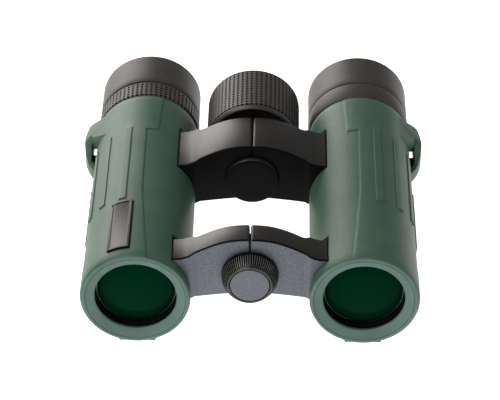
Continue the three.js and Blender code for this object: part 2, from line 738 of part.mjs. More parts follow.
// ---------------------------------------------------------------- hinge hardware on its axis
function hingeParts() {
  const coverFront = REAR_BRIDGE_START - 1.6;
  const cover = turned([
    [0, coverFront],
    [HUB_R - 1.4, coverFront],
    [HUB_R - 0.3, coverFront + 0.3],
    [HUB_R, coverFront + 0.8],
    [HUB_R, REAR_BRIDGE_START - GAP],
    [0, REAR_BRIDGE_START - GAP],
  ]);
  const pin = rod(PIN_R, REAR_BRIDGE_START, CAVITY_START - 0.2);
  const sleeve = ring(
    SCREW_R + RUN,
    SLEEVE_R,
    CAVITY_END + 0.2,
    WHEEL_START + 8.2,
    SMALL_FACETS,
  );
  const washer = ring(
    SLEEVE_R + RUN,
    HUB_R - 1,
    REAR_BRIDGE_END + GAP,
    WHEEL_START - GAP,
    SMALL_FACETS,
  );
  const socket = ring(
    SOCKET_BORE_R,
    SOCKET_R,
    FRONT_BRIDGE_START + 0.2,
    FRONT_BRIDGE_END + 0.4,
    SMALL_FACETS,
  );
  const socketEnd = turned(
    [
      [0, FRONT_BRIDGE_END + 0.7],
      [HUB_R - 1, FRONT_BRIDGE_END + 0.7],
      [HUB_R - 1, FRONT_BRIDGE_END + 1.5],
      [HUB_R - 2, FRONT_BRIDGE_END + 2],
      [0, FRONT_BRIDGE_END + 2],
    ],
    FACETS,
  );
  return [
    piece("rear_hinge_cover", cover, "casting"),
    piece("rear_hinge_pin", pin, "steel"),
    piece("rear_hinge_sleeve", sleeve, "steel"),
    piece("rear_hinge_washer", washer, "plastic"),
    piece("tripod_socket", socket, "brass"),
    piece("front_hinge_cover", socketEnd, "casting"),
  ];
}

// The cap that closes the tripod socket: a knurled cone with a threaded stud, a pressed-in disc
// on its face and a sealing ring behind it.
function socketCap() {
  const start = CAP_FRONT;
  const faces = 48;
  const cone = solid(
    turned(
      [
        [0, start],
        [CAP_FACE_R - 0.4, start],
        [CAP_FACE_R, start + 0.4],
        [CAP_R - 0.35, start + 3.2],
        [CAP_R, start + 4.2],
        [CAP_R - 0.4, CAP_BACK],
        [SOCKET_BORE_R - GAP, CAP_BACK],
        [SOCKET_BORE_R - GAP, CAP_BACK + 7],
        [0, CAP_BACK + 7],
      ],
      faces,
    ),
  );
  const recess = solid(rod(INLAY_R + GAP, start - PAST, start + 0.9, FACETS));
  const inlay = rod(INLAY_R, start, start + 0.6, FACETS);
  const seal = ring(SOCKET_R + GAP, SOCKET_R + 1.9, CAP_BACK + 0.2, CAP_BACK + 1, SMALL_FACETS);
  return [
    piece("socket_cap", geometryOf(cone.subtract(recess)), "metal"),
    piece("socket_cap_disc", inlay, "metal"),
    piece("socket_cap_seal", seal, "rubber"),
  ];
}

// The blank badge on the right barrel: a curved plate on the armour with one clipped corner.
function badge() {
  const inside = ARMOUR_R + GAP;
  const outside = inside + 0.6;
  const points = [];
  for (let i = 0; i <= 4; i++) {
    const angle = degrees(6 + 5 * i);
    points.push([outside * Math.sin(angle), outside * Math.cos(angle)]);
  }
  for (let i = 4; i >= 0; i--) {
    const angle = degrees(6 + 5 * i);
    points.push([inside * Math.sin(angle), inside * Math.cos(angle)]);
  }
  return piece("right_badge", along(points, 4.5, 29.5), "badge");
}

// ---------------------------------------------------------------- assembly
// Each half is drawn with its barrel at +X. The right half is the mirror image, apart from the
// knuckles of its housing, its diopter ring and its badge.
function half(side) {
  const group = new THREE.Group();
  const barrel = new THREE.Group();
  barrel.position.x = BARREL_X;
  group.add(piece(`${side}_housing`, housing(side === "left"), "casting"));
  group.add(focusArm(side), barrel);
  barrel.add(piece(`${side}_armour`, armour(), "armour"));
  barrel.add(...objectiveParts(side), ...focusCell(side));
  barrel.add(prismHolder(side), ...prismParts(side));
  barrel.add(eyepieceTube(side), ...ocularParts(side), ...eyecupParts(side));
  if (side === "left") {
    barrel.add(piece("left_collar", collar(), "rubber"));
  } else {
    const knurl = ridged(SLIDE_BORE_R, CUP_R - 0.1, CUP_R + 0.3, 48, RING_START, RING_END);
    barrel.add(piece("right_diopter_ring", geometryOf(knurl), "rubber"), badge());
  }
  group.scale.x = side === "left" ? 1 : -1;
  return group;
}

const binoculars = new THREE.Group();
const inside = new THREE.Group();
inside.position.set(0, -(CAP_FRONT + CUP_END) / 2, PAD_DROP);
const hingeAxis = new THREE.Group();
hingeAxis.position.z = HINGE_RISE;
hingeAxis.add(...hingeParts(), ...focusWheel(), focusNut(), ...socketCap());
inside.add(half("left"), half("right"), hingeAxis);
binoculars.add(inside);

export default binoculars;
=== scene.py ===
import math

import bmesh
import bpy
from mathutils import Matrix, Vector


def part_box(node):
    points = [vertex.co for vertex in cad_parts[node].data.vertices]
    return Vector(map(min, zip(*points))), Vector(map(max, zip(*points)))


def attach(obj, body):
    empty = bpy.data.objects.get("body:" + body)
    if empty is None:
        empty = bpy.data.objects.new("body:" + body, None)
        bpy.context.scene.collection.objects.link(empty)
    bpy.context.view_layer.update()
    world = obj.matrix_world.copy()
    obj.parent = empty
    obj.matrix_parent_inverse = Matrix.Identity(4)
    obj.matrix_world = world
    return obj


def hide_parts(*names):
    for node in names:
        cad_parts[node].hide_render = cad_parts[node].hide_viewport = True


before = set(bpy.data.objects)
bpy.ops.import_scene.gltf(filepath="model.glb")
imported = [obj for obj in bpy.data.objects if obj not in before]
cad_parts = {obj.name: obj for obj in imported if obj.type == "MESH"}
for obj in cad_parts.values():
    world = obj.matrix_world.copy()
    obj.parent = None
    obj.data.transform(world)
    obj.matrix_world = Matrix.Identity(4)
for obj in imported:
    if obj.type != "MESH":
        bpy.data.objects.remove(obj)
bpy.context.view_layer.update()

# --------------------------------------------------
# Camera: stands in front of the objectives and looks down on the glasses at 37 degrees, from
# far enough away that the two barrels draw together only slightly towards the eyecups.
mm = 0.001
armour_low, armour_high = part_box("left_armour")
rim_y = armour_low.y
pad_z = armour_low.z


def middle_of(node):
    low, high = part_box(node)
    return (low + high) / 2


barrel = middle_of("left_eyecup_rubber")
hinge = middle_of("focus_wheel_core")

camera = bpy.data.objects.new("camera", bpy.data.cameras.new("camera"))
bpy.context.scene.collection.objects.link(camera)
bpy.context.scene.camera = camera
camera_turn = math.radians(0.83)
camera_tilt = math.radians(37.07)
camera_distance = 786.3 * mm
camera_target = Vector((-0.64 * mm, rim_y + 50.0 * mm, barrel.z + 2.9 * mm))
camera_back = Vector((
    math.sin(camera_turn) * math.cos(camera_tilt),
    -math.cos(camera_turn) * math.cos(camera_tilt),
    math.sin(camera_tilt),
))
camera.location = camera_target + camera_back * camera_distance
camera.rotation_mode = "QUATERNION"
camera.rotation_quaternion = (-camera_back).to_track_quat("-Z", "Y")
camera.data.lens = 167.4
camera.data.sensor_width = 36
camera.data.clip_start = 0.01
camera.data.clip_end = 20

# --------------------------------------------------
# Housings: one light-alloy casting for each barrel, a tube with a front and a rear arm that
# reach the hinge. Sprayed satin black with a fine texture, and blue-grey on the front face.
# The rear bridge's front face and a band along the front bridge's top front edge are a
# near-black matt paint, which is painted shade.


def select_mesh():
    bpy.ops.mesh.select_all(action="SELECT")


def first_point(name, place):
    """A new piece that is one vertex at place, in edit mode, ready to be extruded."""
    bpy.ops.object.select_all(action="DESELECT")
    bpy.ops.mesh.primitive_plane_add(size=mm, location=(0, 0, 0))
    piece = bpy.context.object
    piece.name = name
    piece.data.name = name
    bpy.ops.object.mode_set(mode="EDIT")
    bpy.ops.mesh.select_mode(type="VERT")
    select_mesh()
    bpy.ops.mesh.merge(type="CENTER")
    bpy.ops.transform.translate(value=place)
    return piece


def extrude_by(offset):
    bpy.ops.mesh.extrude_region_move(TRANSFORM_OT_translate={"value": offset})


def drawn(name, places):
    """A new piece that is a line through the places, in edit mode."""
    piece = first_point(name, places[0])
    for here, there in zip(places, places[1:]):
        extrude_by(there - here)
    return piece


def filled(name, places):
    """A new piece that is one face with its corners at the places, in edit mode."""
    piece = drawn(name, places)
    select_mesh()
    bpy.ops.mesh.edge_face_add()
    select_mesh()
    return piece


def pick(kind, test):
    """Selects the vertices or faces of the piece in edit mode that pass the test."""
    bpy.ops.mesh.select_all(action="DESELECT")
    bpy.ops.mesh.select_mode(type=kind)
    data = bpy.context.object.data
    mesh = bmesh.from_edit_mesh(data)
    for part in mesh.verts if kind == "VERT" else mesh.faces:
        part.select_set(test(part))
    bmesh.update_edit_mesh(data)


def close_mesh():
    """Merges doubled points, turns all faces outwards and leaves edit mode."""
    select_mesh()
    bpy.ops.mesh.remove_doubles(threshold=0.002 * mm)
    bpy.ops.mesh.normals_make_consistent(inside=False)
    bpy.ops.object.mode_set(mode="OBJECT")


def select_only(piece):
    bpy.ops.object.select_all(action="DESELECT")
    piece.select_set(True)
    bpy.context.view_layer.objects.active = piece


def smooth(piece, angle=35):
    select_only(piece)
    bpy.ops.object.shade_smooth_by_angle(angle=math.radians(angle))


def apply_modifiers(piece):
    select_only(piece)
    for modifier in list(piece.modifiers):
        bpy.ops.object.modifier_apply(modifier=modifier.name)


def round_edges(piece, width, segments=2, angle=35):
    bevel = piece.modifiers.new("bevel", "BEVEL")
    bevel.width = width * mm
    bevel.segments = segments
    bevel.limit_method = "ANGLE"
    bevel.angle_limit = math.radians(angle)
    bevel.use_clamp_overlap = True
    bevel.miter_outer = "MITER_ARC"
    apply_modifiers(piece)


def turned(name, outline, centre, steps=128, rounding=0.0):
    """A piece turned on a lathe: an outline of (radius, station) points spun about the axis
    through centre along Y. Stations are millimetres behind the armour's front rim."""
    places = [Vector((centre.x + r * mm, rim_y + y * mm, centre.z)) for r, y in outline]
    piece = drawn(name, places)
    if outline[0][0] > 0:
        ends = (places[0], places[-1])
        pick("VERT", lambda v: any((v.co - end).length < 0.001 * mm for end in ends))
        bpy.ops.mesh.edge_face_add()
    select_mesh()
    bpy.ops.mesh.spin(steps=steps, angle=math.tau, center=centre, axis=(0, 1, 0))
    close_mesh()
    if rounding:
        round_edges(piece, rounding)
    smooth(piece)
    return piece


def join_with(piece, other, operation):
    """Joins the other piece to this one, or cuts it away, and removes the other piece."""
    boolean = piece.modifiers.new("boolean", "BOOLEAN")
    boolean.operation = operation
    boolean.solver = "MANIFOLD"
    boolean.object = other
    apply_modifiers(piece)
    bpy.data.objects.remove(other)


def polar(centre, radius, angle, y):
    """A point round an axis along Y, with the angle from straight up towards +X."""
    a = math.radians(angle)
    return Vector((
        centre.x + radius * mm * math.sin(a),
        rim_y + y * mm,
        centre.z + radius * mm * math.cos(a),
    ))


def along_y(name, corners, start, end):
    """An outline of points in the XZ plane, filled and extruded from one station to another."""
    shift = Vector((0, rim_y + start * mm, 0))
    piece = filled(name, [Vector((x, 0, z)) + shift for x, z in corners])
    extrude_by((0, (end - start) * mm, 0))
    close_mesh()
    return piece


armour_radius = (armour_high.z - barrel.z) / mm
armour_wall = 2.15
tube_wall = 1.4
tube_radius = armour_radius - armour_wall
tube_bore = tube_radius - tube_wall
tube_front = 3.2
armour_end = (armour_high.y - rim_y) / mm
hinge_rise = (hinge.z - barrel.z) / mm
crown = hinge_rise + 13.4
arm_root = 12.85
root_reach = armour_radius * 0.69
front_hub = 7.4
rear_hub = 8.5
front_knuckle = 2.6667
rear_knuckle = 2.6
knuckle_gap = 0.3
fold_half = 33
front_bridge = (5.4, 14.0)
rear_bridge = (armour_end - 33.7, armour_end - 16.3)
socket_bore = 5.2
pin_bore = 3.3
bearing_bore = 4.7
nut_room = 7.8
bridge_wall = 4.9


def arm_top(x):
    """Height of an arm's top above the barrel axes: a long S from the crown to the armour."""
    t = min(1, max(0, x / (barrel.x / mm - root_reach)))
    ease = t ** 1.45
    return crown - (crown - arm_root) * (ease * ease * (3 - 2 * ease)) ** 0.93


def arm_bottom(x):
    """Height of an arm's underside, which drops a little towards the armour."""
    return -1.15 - 3.1 * (x / 24.6) ** 1.35


def arm(name, start, end):
    """A bridge arm lofted from the middle of the hinge to inside the barrel's tube. It
    widens at its front and back into a small fillet where it enters the armour's window."""
    armour_edge = barrel.x / mm - armour_radius
    slices = [0.158, 1.106, 2.37, 3.95, 5.925, 7.9, 9.875, 11.85, 13.43, 14.536, 15.405, 16.195,
              16.827, 17.459, 18.17, 18.96, 19.6, 20.6, 22, barrel.x / mm - tube_radius * 0.62]
    piece = first_point(name, Vector((0, rim_y + start * mm, barrel.z)))

    def flare(x, reach, amount):
        t = min(1, max(0, (x - (armour_edge - reach)) / reach))
        return amount * t * t

    def section(x):
        low, high = arm_bottom(x), arm_top(x)
        front = start - flare(x, 1.6, 0.8)
        back = end + flare(x, 2.4, 1.6)
        return [(front, low), (back, low), (back, high), (front, high)]

    select_mesh()
    bpy.ops.mesh.delete(type="VERT")
    mesh = bmesh.from_edit_mesh(piece.data)
    rows = []
    for x in slices:
        rows.append([
            mesh.verts.new((x * mm, rim_y + y * mm, barrel.z + z * mm)) for y, z in section(x)
        ])
    for near, far in zip(rows, rows[1:]):
        for k in range(4):
            mesh.faces.new((near[k], near[(k + 1) % 4], far[(k + 1) % 4], far[k]))
    mesh.faces.new(rows[0])
    mesh.faces.new(rows[-1][::-1])
    bmesh.update_edit_mesh(piece.data)
    close_mesh()
    round_edges(piece, 0.7, 3, 50)
    return piece


def disc(name, radius, start, end, rounding=0.25, steps=96):
    outline = [(0, start), (radius, start), (radius, end), (0, end)]
    return turned(name, outline, hinge, steps, rounding)


def fan(centre, radius, angles):
    """Corners in the XZ plane of a piece of cake with its point at centre."""
    rim = [polar(centre, radius, angle, 0) for angle in angles]
    return [(centre.x, centre.z)] + [(corner.x, corner.z) for corner in rim]


def wedge_below(name, start, end):
    """The space under the hinge that both arms leave free, so that the glasses can fold."""
    angles = (180 - fold_half, 180, 180 + fold_half)
    return along_y(name, fan(hinge, 30, angles), start, end)


def knuckles(start, end, size):
    """Stations of the two outer knuckles and of the one between them."""
    outer = [(start, start + size), (end - size, end)]
    middle = [(start + size + knuckle_gap, end - size - knuckle_gap)]
    return outer, middle


def curved_plate(name, centre, radius, thickness, from_angle, to_angle, start, end):
    """A plate bent round a barrel, spun from its end section."""
    corners = ((radius, start), (radius + thickness, start), (radius + thickness, end),
               (radius, end))
    piece = filled(name, [polar(centre, r, from_angle, y) for r, y in corners])
    bpy.ops.mesh.spin(steps=14, angle=math.radians(from_angle - to_angle), center=centre,
                      axis=(0, 1, 0))
    close_mesh()
    return piece


def coat(piece, *finishes):
    """Gives the piece its materials. Its faces start with the first one."""
    for finish in finishes:
        piece.data.materials.append(finish)


def casting(side):
    """The tube with both arms. The left half has the middle knuckles, the right the outer."""
    is_left = side == "left"
    outline = [(tube_bore, tube_front), (tube_radius, tube_front),
               (tube_radius, armour_end - 0.4), (tube_bore, armour_end - 0.4)]
    body = turned(side + "_casting", outline, barrel, 96, 0.2)
    coat(body, black_paint, grey_paint, shade_black_paint)
    for (start, end), size, hub in ((front_bridge, front_knuckle, front_hub),
                                    (rear_bridge, rear_knuckle, rear_hub)):
        outer, middle = knuckles(start, end, size)
        own, foreign = (middle, outer) if is_left else (outer, middle)
        part = arm("arm", start, end)
        join_with(part, wedge_below("wedge", start - 1, end + 5), "DIFFERENCE")
        for from_y, to_y in own:
            join_with(part, disc("knuckle", hub, from_y, to_y), "UNION")
        for from_y, to_y in foreign:
            room = disc("room", hub + knuckle_gap, from_y - knuckle_gap, to_y + knuckle_gap, 0)
            join_with(part, room, "DIFFERENCE")
        join_with(body, part, "UNION")
        groove = curved_plate("groove", barrel, tube_radius + 0.4, 3, -42.8, -36, start - 2,
                              end + 5)
        join_with(body, groove, "DIFFERENCE")
    bore = turned("bore", [(0, 0), (tube_bore, 0), (tube_bore, 100), (0, 100)], barrel, 96)
    join_with(body, bore, "DIFFERENCE")
    start, end = front_bridge
    join_with(body, disc("socket_bore", socket_bore, start - 1, end + 1, 0, 90), "DIFFERENCE")
    start, end = rear_bridge
    front_wall, rear_wall = start + bridge_wall, end - bridge_wall
    hub_bore = [(0, start - 1), (pin_bore, start - 1), (pin_bore, front_wall),
                (bearing_bore, front_wall), (bearing_bore, end + 1), (0, end + 1)]
    if is_left:
        hub_bore[3:4] = [(nut_room, front_wall), (nut_room, rear_wall),
                         (bearing_bore, rear_wall)]
    join_with(body, turned("hub_bore", hub_bore, hinge, 90), "DIFFERENCE")
    if is_left:
        swing = fan(hinge, 12, (178, 205, 232, 259, 278))
        join_with(body, along_y("swing", swing, start + 5, end - 5), "DIFFERENCE")
    smooth(body, 30)
    return body


def mirror_over(piece):
    """Turns a piece made for the barrel at +X into the one for the barrel at -X."""
    select_only(piece)
    bpy.ops.transform.resize(value=(-1, 1, 1), center_override=(0, 0, 0))
    bpy.ops.object.transform_apply(location=True, rotation=True, scale=True)
    bpy.ops.object.mode_set(mode="EDIT")
    select_mesh()
    bpy.ops.mesh.normals_make_consistent(inside=False)
    bpy.ops.object.mode_set(mode="OBJECT")


def surface(name, colour, roughness, metallic=0.0, specular=0.5):
    """A new material with one shader. Returns the material and its shader."""
    material = bpy.data.materials.new(name)
    material.use_nodes = True
    shader = material.node_tree.nodes["Principled BSDF"]
    shader.inputs["Base Color"].default_value = (*colour, 1)
    shader.inputs["Roughness"].default_value = roughness
    shader.inputs["Metallic"].default_value = metallic
    shader.inputs["Specular IOR Level"].default_value = specular
    return material, shader


def tools(shader):
    """The nodes and links of the material that a shader is in."""
    return shader.id_data.nodes, shader.id_data.links


def object_point(nodes):
    """Where a pattern is read: the place on the piece, in metres."""
    return nodes.new("ShaderNodeTexCoord").outputs["Object"]


def speckle(shader, size, detail, rough=0.5):
    """Cloudy noise whose grains are about size millimetres across."""
    nodes, links = tools(shader)
    noise = nodes.new("ShaderNodeTexNoise")
    noise.inputs["Scale"].default_value = 1 / (size * mm)
    noise.inputs["Detail"].default_value = detail
    noise.inputs["Roughness"].default_value = rough
    links.new(object_point(nodes), noise.inputs["Vector"])
    return noise.outputs["Fac"]


def tint(shader, factor, dark, light, low=0.35, high=0.65):
    """Blends the base colour between dark and light by a pattern."""
    nodes, links = tools(shader)
    ramp = nodes.new("ShaderNodeValToRGB")
    ramp.color_ramp.elements[0].position = low
    ramp.color_ramp.elements[1].position = high
    ramp.color_ramp.elements[0].color = (*dark, 1)
    ramp.color_ramp.elements[1].color = (*light, 1)
    links.new(factor, ramp.inputs["Fac"])
    links.new(ramp.outputs["Color"], shader.inputs["Base Color"])


def roughen(shader, factor, low, high):
    """Varies the roughness between low and high by a pattern."""
    nodes, links = tools(shader)
    spread = nodes.new("ShaderNodeMapRange")
    spread.inputs["To Min"].default_value = low
    spread.inputs["To Max"].default_value = high
    links.new(factor, spread.inputs["Value"])
    links.new(spread.outputs["Result"], shader.inputs["Roughness"])


def emboss(shader, height, strength, depth):
    """Raises the surface by a pattern, depth in millimetres."""
    nodes, links = tools(shader)
    bump = nodes.new("ShaderNodeBump")
    bump.inputs["Strength"].default_value = strength
    bump.inputs["Distance"].default_value = depth * mm
    links.new(height, bump.inputs["Height"])
    links.new(bump.outputs["Normal"], shader.inputs["Normal"])


def sprayed_black(name, light, specular, rough):
    """Black paint with a fine orange-peel texture and slightly paler high spots."""
    material, shader = surface(name, light, rough, 0, specular)
    fine = speckle(shader, 0.22, 3)
    tint(shader, speckle(shader, 0.5, 4, 0.7), (0.004, 0.004, 0.004), light)
    roughen(shader, fine, rough - 0.07, rough + 0.07)
    emboss(shader, fine, 0.5, 0.03)
    return material


def sprayed_grey():
    """Blue-grey metallic paint with a visible sparkle, on the front face of the front bridge."""
    material, shader = surface("sprayed_grey", (0.12, 0.125, 0.14), 0.45, 0.35)
    tint(shader, speckle(shader, 0.28, 5, 0.8),
         (0.055, 0.062, 0.074), (0.185, 0.198, 0.226), 0.40, 0.64)
    fine = speckle(shader, 0.2, 3)
    roughen(shader, fine, 0.38, 0.6)
    emboss(shader, fine, 0.6, 0.03)
    return material


black_paint = sprayed_black("sprayed_black", (0.018, 0.015, 0.013), 0.42, 0.4)
# Near-black low-sheen paint: painted shade on faces that stand in shadow.
shade_black_paint = sprayed_black("sprayed_black_painted_shade", (0.0035, 0.0034, 0.0037), 0.05, 0.5)
grey_paint = sprayed_grey()


def station(point):
    """Millimetres behind the armour's front rim."""
    return (point.y - rim_y) / mm


def paint_front_faces(body):
    """The front bridge's face between the barrels is grey. The rear bridge's front face and a
    band along the front bridge's top front edge take the near-black matt paint as painted shade.
    """
    for face in body.data.polygons:
        between = abs(face.center.x) < barrel.x - 0.68 * armour_radius * mm
        ahead = between and face.normal.y < -0.6
        y = station(face.center)
        edge = -0.93 < face.normal.y < -0.2 and face.normal.z > 0.3
        # Painted shade: a dark band along the front bridge's top front edge.
        if between and edge and y < front_bridge[0] + 0.6:
            face.material_index = 2
        elif ahead and y < front_bridge[0] + 0.45:
            face.material_index = 1
        # Painted shade: the rear bridge's front face.
        elif ahead and rear_bridge[0] - 1 < y < rear_bridge[0] + 0.45:
            face.material_index = 2
        else:
            face.material_index = 0


for side in ("left", "right"):
    body = casting(side)
    if side == "right":
        mirror_over(body)
        smooth(body, 30)
    paint_front_faces(body)
    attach(body, side + "_half")
    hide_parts(side + "_housing")

# --------------------------------------------------
# Armour: a moulded rubber sleeve glued over each tube. The outer side is a raised smooth panel
# with four long grip ribs and a strap lug, and the inner side is lower, with a leather grain.


def remap(value, pairs):
    """Moves a value from the first numbers of the pairs to the second, straight in between."""
    for (a, to_a), (b, to_b) in zip(pairs, pairs[1:]):
        if a <= value <= b:
            return to_a + (to_b - to_a) * (value - a) / (b - a)
    return value


def seam_angle(y):
    """The seam on top of the barrel, in degrees outwards from straight up."""
    if y > 71:
        return remap(y, [(71, -15.5), (91, -18.5)])
    return remap(y, [(0, -13), (12, -9.5), (30, -4.5), (38, -2.6), (71, -2)])


def around(point):
    """Degrees from straight up, outwards, round the +X barrel."""
    return math.degrees(math.atan2(point.x - barrel.x, point.z - barrel.z))


def away(point, centre=barrel):
    """Millimetres from an axis along Y, such as the +X barrel's."""
    return math.hypot(point.x - centre.x, point.z - centre.z) / mm


rib_bands = [(14, 22, 31.5, 72), (40, 48, 32, 71), (64, 72, 33, 70), (88, 96, 28, 57)]
outer_stations = [1.1, 4, 9, 16, 22, 28, 31.5, 32, 33, 38, 45, 52, 57, 62, 66, 70, 70.85, 71.15,
                  72, 76, 80, 84, 87, 89.7]
window_angles = (-106, -90, -74, -58, -41.2)
sleeve_bore = 15.9
sleeve_lip = 2.9
skin_from = 17.3
skin_end = 90.2
underside_seam = -158
panel_step = 0.32 * mm
rib_height = 0.42 * mm


def armour():
    """The sleeve without its lug: the inner side is sunk by a step, and four ribs stand out."""
    r = armour_radius
    skin_outline = [(13.2, 1.75), (13.5, 1.35), (14.8, 0.75), (16.05, 0.25), (16.15, 0.42),
                    (16.35, 0.42), (16.45, 0.12), (16.75, 0.0), (17.45, 0.2), (17.8, 0.6)]
    skin_outline += [(r + (0.25 if y < 12 else 0), y) for y in outer_stations]
    skin_outline += [(r - 0.15, 90.05), (r - 0.5, 90.3), (sleeve_bore, 90.3),
                     (sleeve_bore, sleeve_lip), (13.5, sleeve_lip)]
    piece = turned("armour", skin_outline, barrel, 180)
    coat(piece, rubber_smooth, rubber_grained, rubber_rim_painted_light, rubber_painted_shade)
    bpy.ops.object.mode_set(mode="EDIT")
    mesh = bmesh.from_edit_mesh(piece.data)
    for v in mesh.verts:
        angle, y = around(v.co), station(v.co)
        if y > 71:
            pairs = [(-60, -60), (-16, seam_angle(y)), (12, 12)]
        else:
            pairs = [(-60, -60), (-2, seam_angle(y)), (13, 13)]
        v.co = polar(barrel, away(v.co), remap(angle, pairs), y)
    bmesh.update_edit_mesh(piece.data)

    def on_inner_side(face):
        centre = face.calc_center_median()
        if away(centre) <= skin_from or station(centre) >= skin_end:
            return False
        return underside_seam <= around(centre) <= seam_angle(station(centre))

    pick("FACE", on_inner_side)
    for face in bmesh.from_edit_mesh(piece.data).faces:
        centre = face.calc_center_median()
        # Painted light: the front rim faces take a paler copy of the green rubber.
        rim = station(centre) < 1.9 and away(centre) < 17.5
        face.material_index = 1 if face.select else 2 if rim else 0
    bpy.ops.mesh.extrude_region_shrink_fatten(TRANSFORM_OT_shrink_fatten={"value": -panel_step})
    for low, high, front, back in rib_bands:
        def on_rib(face):
            centre = face.calc_center_median()
            along = front < station(centre) < back
            return along and low < around(centre) < high and away(centre) > 17.5

        pick("FACE", on_rib)
        bpy.ops.mesh.extrude_region_shrink_fatten(
            TRANSFORM_OT_shrink_fatten={"value": rib_height}
        )
    bpy.ops.object.mode_set(mode="OBJECT")
    return piece


def flat_piece(name, points, low, high, upright=False):
    """A flat piece cut to an outline of (x, station), or of (station, height) if upright."""
    def place(a, b):
        if upright:
            return Vector((barrel.x + low * mm, rim_y + a * mm, barrel.z + b * mm))
        return Vector((barrel.x + a * mm, rim_y + b * mm, barrel.z + low * mm))

    piece = filled(name, [place(a, b) for a, b in points])
    depth = (high - low) * mm
    extrude_by((depth, 0, 0) if upright else (0, 0, depth))
    close_mesh()
    return piece


lug_back = armour_end - 8.1
lug_front = armour_end - 18.8
lug_reach = armour_radius + 4.0
bar_inside = 19.2


def lug():
    """The strap lug: a bar that stands off the outer side and rises at its rear end to a broad
    shoulder, which leaves the armour at a tangent and stops at an upright wall over the slot."""
    bar = [(15.9, lug_front - 3.4), (17.7, lug_front - 2.4), (18.8, lug_front - 0.9),
           (20.2, lug_front + 2), (21.2, lug_front + 5.2), (lug_reach, lug_front + 8.6),
           (lug_reach, lug_back + 0.3), (21.3, lug_back + 2.9), (20.8, lug_back + 4.9),
           (20.3, lug_back + 5.9), (19.4, lug_back + 6.3), (16.6, lug_back + 5.8),
           (11.5, lug_back + 5.8), (11.5, lug_back - 10), (15.9, lug_back - 10)]
    body = flat_piece("lug", bar, -3.6, 16)
    ahead = [(9, lug_front - 9), (bar_inside + 0.1, lug_front - 9),
             (bar_inside + 0.1, lug_back - 2.1), (9, lug_back - 9.7)]
    join_with(body, flat_piece("ahead", ahead, 0.4, 26), "DIFFERENCE")
    strip = [(lug_back - 0.9, 5.6), (lug_back + 0.2, 8), (lug_back + 0.2, 20),
             (lug_front - 12, 20), (lug_front - 12, -1.2), (lug_front, -0.2),
             (lug_front + 2.8, 0.7), (lug_back - 4.9, 2.3), (lug_back - 2.9, 3.8)]
    join_with(body, flat_piece("strip", strip, bar_inside, 30, True), "DIFFERENCE")
    roof = [(barrel.x + x * mm, barrel.z + z * mm)
            for x, z in ((8.6, 15.53), (23.0, 3.58), (26, 18), (8.6, 18))]
    join_with(body, along_y("roof", roof, lug_front - 12, lug_back + 9), "DIFFERENCE")
    round_edges(body, 0.5, 3, 35)
    return body


def lug_slot():
    """A deep pocket inside the bar, its walls painted near-black as painted shade."""
    slot = [(16.9, lug_front + 0.3), (17.6, lug_front), (18.2, lug_front + 0.8),
            (18.8, lug_front + 3.4), (bar_inside, lug_front + 6), (bar_inside, lug_back - 3.4),
            (16.9, lug_back - 3.8)]
    cutter = flat_piece("slot", slot, -3.1, 4)
    # Painted shade: the pocket walls take the near-black rubber.
    for face in cutter.data.polygons:
        face.material_index = 3
    return cutter


def lug_tunnel():
    """The strap's way out of the slot: down and back, under the shoulder."""
    path = [(lug_back - 4.9, 4.2), (lug_back + 12, -8.7), (lug_back + 8, -8.6),
            (lug_back - 3.7, 0.4), (lug_back - 4.9, 1.3)]
    return flat_piece("tunnel", path, 17.2, bar_inside - 0.1, True)


def block(name, low, high, rounding):
    """A rounded block between its lowest and highest corners."""
    bpy.ops.object.select_all(action="DESELECT")
    bpy.ops.mesh.primitive_cube_add(size=1, location=(0, 0, 0))
    piece = bpy.context.object
    piece.name = name
    bpy.ops.object.mode_set(mode="EDIT")
    bpy.ops.transform.resize(value=high - low)
    bpy.ops.transform.translate(value=(low + high) / 2)
    bpy.ops.object.mode_set(mode="OBJECT")
    round_edges(piece, rounding, 3)
    return piece


def green_rubber(name, dark, light, grain=False):
    """Green rubber with a dull bloom. The inner side of the armour has a leather grain."""
    material, shader = surface(name, light, 0.5, 0, 0.38)
    tint(shader, speckle(shader, 9, 4, 0.6), dark, light, 0.3, 0.7)
    fine = speckle(shader, 0.16, 3)
    roughen(shader, speckle(shader, 0.6, 4), 0.44, 0.58)
    height = fine
    if grain:
        nodes, links = tools(shader)
        cells = nodes.new("ShaderNodeTexVoronoi")
        cells.feature = "DISTANCE_TO_EDGE"
        cells.inputs["Scale"].default_value = 1 / (0.95 * mm)
        warp = nodes.new("ShaderNodeTexNoise")
        warp.inputs["Scale"].default_value = 1 / (1.6 * mm)
        stretch = nodes.new("ShaderNodeMixRGB")
        stretch.inputs["Fac"].default_value = 0.0012
        point = object_point(nodes)
        links.new(point, warp.inputs["Vector"])
        links.new(point, stretch.inputs["Color1"])
        links.new(warp.outputs["Color"], stretch.inputs["Color2"])
        links.new(stretch.outputs["Color"], cells.inputs["Vector"])
        crease = nodes.new("ShaderNodeMapRange")
        crease.inputs["From Max"].default_value = 0.22
        links.new(cells.outputs["Distance"], crease.inputs["Value"])
        blend = nodes.new("ShaderNodeMath")
        blend.operation = "MULTIPLY_ADD"
        blend.inputs[1].default_value = 0.35
        links.new(fine, blend.inputs[0])
        links.new(crease.outputs["Result"], blend.inputs[2])
        height = blend.outputs["Value"]
    emboss(shader, height, 0.55 if grain else 0.4, 0.05 if grain else 0.025)
    return material


rubber_smooth = green_rubber("green_rubber", (0.035, 0.080, 0.053), (0.047, 0.098, 0.066))
rubber_grained = green_rubber("green_rubber_grained", (0.035, 0.080, 0.053),
                              (0.047, 0.098, 0.066), True)
# A near-black copy of the armour rubber, painted shade in the lug's slot.
rubber_painted_shade = green_rubber("green_rubber_shade", (0.002, 0.004, 0.003), (0.004, 0.008, 0.006))
